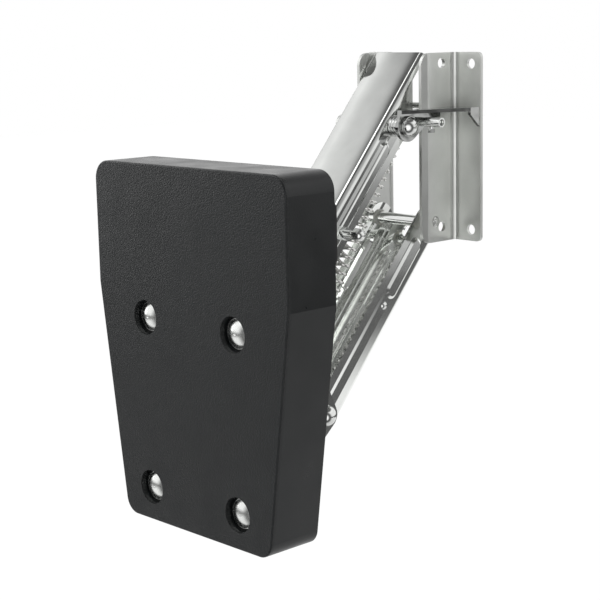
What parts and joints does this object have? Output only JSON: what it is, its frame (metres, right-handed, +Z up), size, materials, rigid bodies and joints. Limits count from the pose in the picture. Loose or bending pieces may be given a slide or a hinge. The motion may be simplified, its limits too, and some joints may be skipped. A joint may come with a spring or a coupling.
{
  "type": "folding outboard motor bracket",
  "caption": "Transom bracket whose parallel channel arms and springs raise and lower a thick board for a small outboard motor.",
  "frame": {"origin": "centre of the four transom bolt holes, on the face that lies against the boat", "axes": "+X across the boat to the bracket's right as seen from behind the boat, +Y forward through the transom, +Z up"},
  "size_m": [0.234, 0.2785, 0.3814],
  "materials": {
    "stainless_plate": "satin folded stainless plate",
    "polished_sheet": "mirror-polished stainless sheet",
    "bright_steel": "polished stainless fasteners",
    "spring_steel": "bright stainless spring wire",
    "nylon": "natural nylon",
    "board_plastic": "black plastic, fine leather-like grain on the front",
    "pad_rubber": "matt black rubber"
  },
  "bodies": {
    "transom": {"transom_angle_right": "stainless_plate", "transom_angle_left": "stainless_plate", "ear_bracket": "stainless_plate", "lower_axle": "stainless_plate", "axle_welds": "stainless_plate", "axle_spacer_right": "nylon", "axle_spacer_left": "nylon", "upper_pivot_bolt_right": "bright_steel", "upper_pivot_bolt_left": "bright_steel", "upper_pivot_washers": "bright_steel", "upper_pivot_nuts": "bright_steel", "upper_pivot_spacers_right": "bright_steel", "upper_pivot_spacer_left": "bright_steel", "upper_spring_anchor": "bright_steel", "lock_pin_guide": "bright_steel", "lock_pin_spring": "spring_steel"},
    "upper_arm": {"upper_arm_channel": "polished_sheet", "upper_arm_bushes": "nylon", "cross_bolt": "bright_steel", "cross_bolt_nut": "bright_steel", "cross_bolt_cap_nut": "bright_steel"},
    "lower_arm": {"lower_arm_channel": "polished_sheet", "lower_arm_bushes": "nylon", "lower_arm_rivets": "bright_steel"},
    "carrier": {"motor_board": "board_plastic", "clamp_pad": "pad_rubber", "clamp_pad_screws": "bright_steel", "carriage_bolts": "bright_steel", "carriage_bolt_washers": "bright_steel", "carriage_bolt_nuts": "bright_steel", "carrier_angle_right": "polished_sheet", "carrier_angle_left": "polished_sheet", "upper_carrier_bolt": "bright_steel", "upper_carrier_nut": "bright_steel", "lower_carrier_bolt": "bright_steel", "lower_carrier_nut": "bright_steel", "carrier_bolt_washers": "bright_steel", "carrier_spacers": "nylon", "lower_spring_anchor": "bright_steel"},
    "springs": {"spring_right": "spring_steel", "spring_left": "spring_steel", "spring_spacer": "nylon"},
    "lock_pin": {"lock_pin": "bright_steel", "lock_pin_sleeve": "bright_steel", "lock_pin_set_screw": "bright_steel", "lock_pin_clip": "bright_steel"}
  },
  "joints": [
    {"name": "upper_arm_swing", "type": "hinge", "parent": "transom", "child": "upper_arm", "pos_m": [-0.00413, -0.0665, 0.0215], "axis": [-1, 0, 0], "range_deg": [0, 26]},
    {"name": "lower_arm_swing", "type": "hinge", "parent": "transom", "child": "lower_arm", "pos_m": [-0.00413, -0.0275, -0.0655], "axis": [-1, 0, 0], "range_deg": [0, 26]},
    {"name": "carrier_level", "type": "hinge", "parent": "upper_arm", "child": "carrier", "pos_m": [-0.00413, -0.19798, -0.12921], "axis": [-1, 0, 0], "range_deg": [-26, 0]},
    {"name": "spring_swing", "type": "hinge", "parent": "transom", "child": "springs", "pos_m": [-0.00413, -0.0289, 0.037], "axis": [-1, 0, 0], "range_deg": [0, 19.8], "deforming": ["spring_right", "spring_left"]},
    {"name": "lock_pull", "type": "slide", "parent": "transom", "child": "lock_pin", "axis": [1, 0, 0], "range_m": [0, 0.007], "stiffness_N_per_m": 400, "springref_m": -0.004, "deforming": ["lock_pin_spring"]}
  ],
  "couplings": [
    {"joint": "lower_arm_swing", "follows": "upper_arm_swing", "ratio": 1},
    {"joint": "carrier_level", "follows": "upper_arm_swing", "ratio": -1},
    {"joint": "spring_swing", "follows": "upper_arm_swing", "ratio": 0.7615}
  ]
}
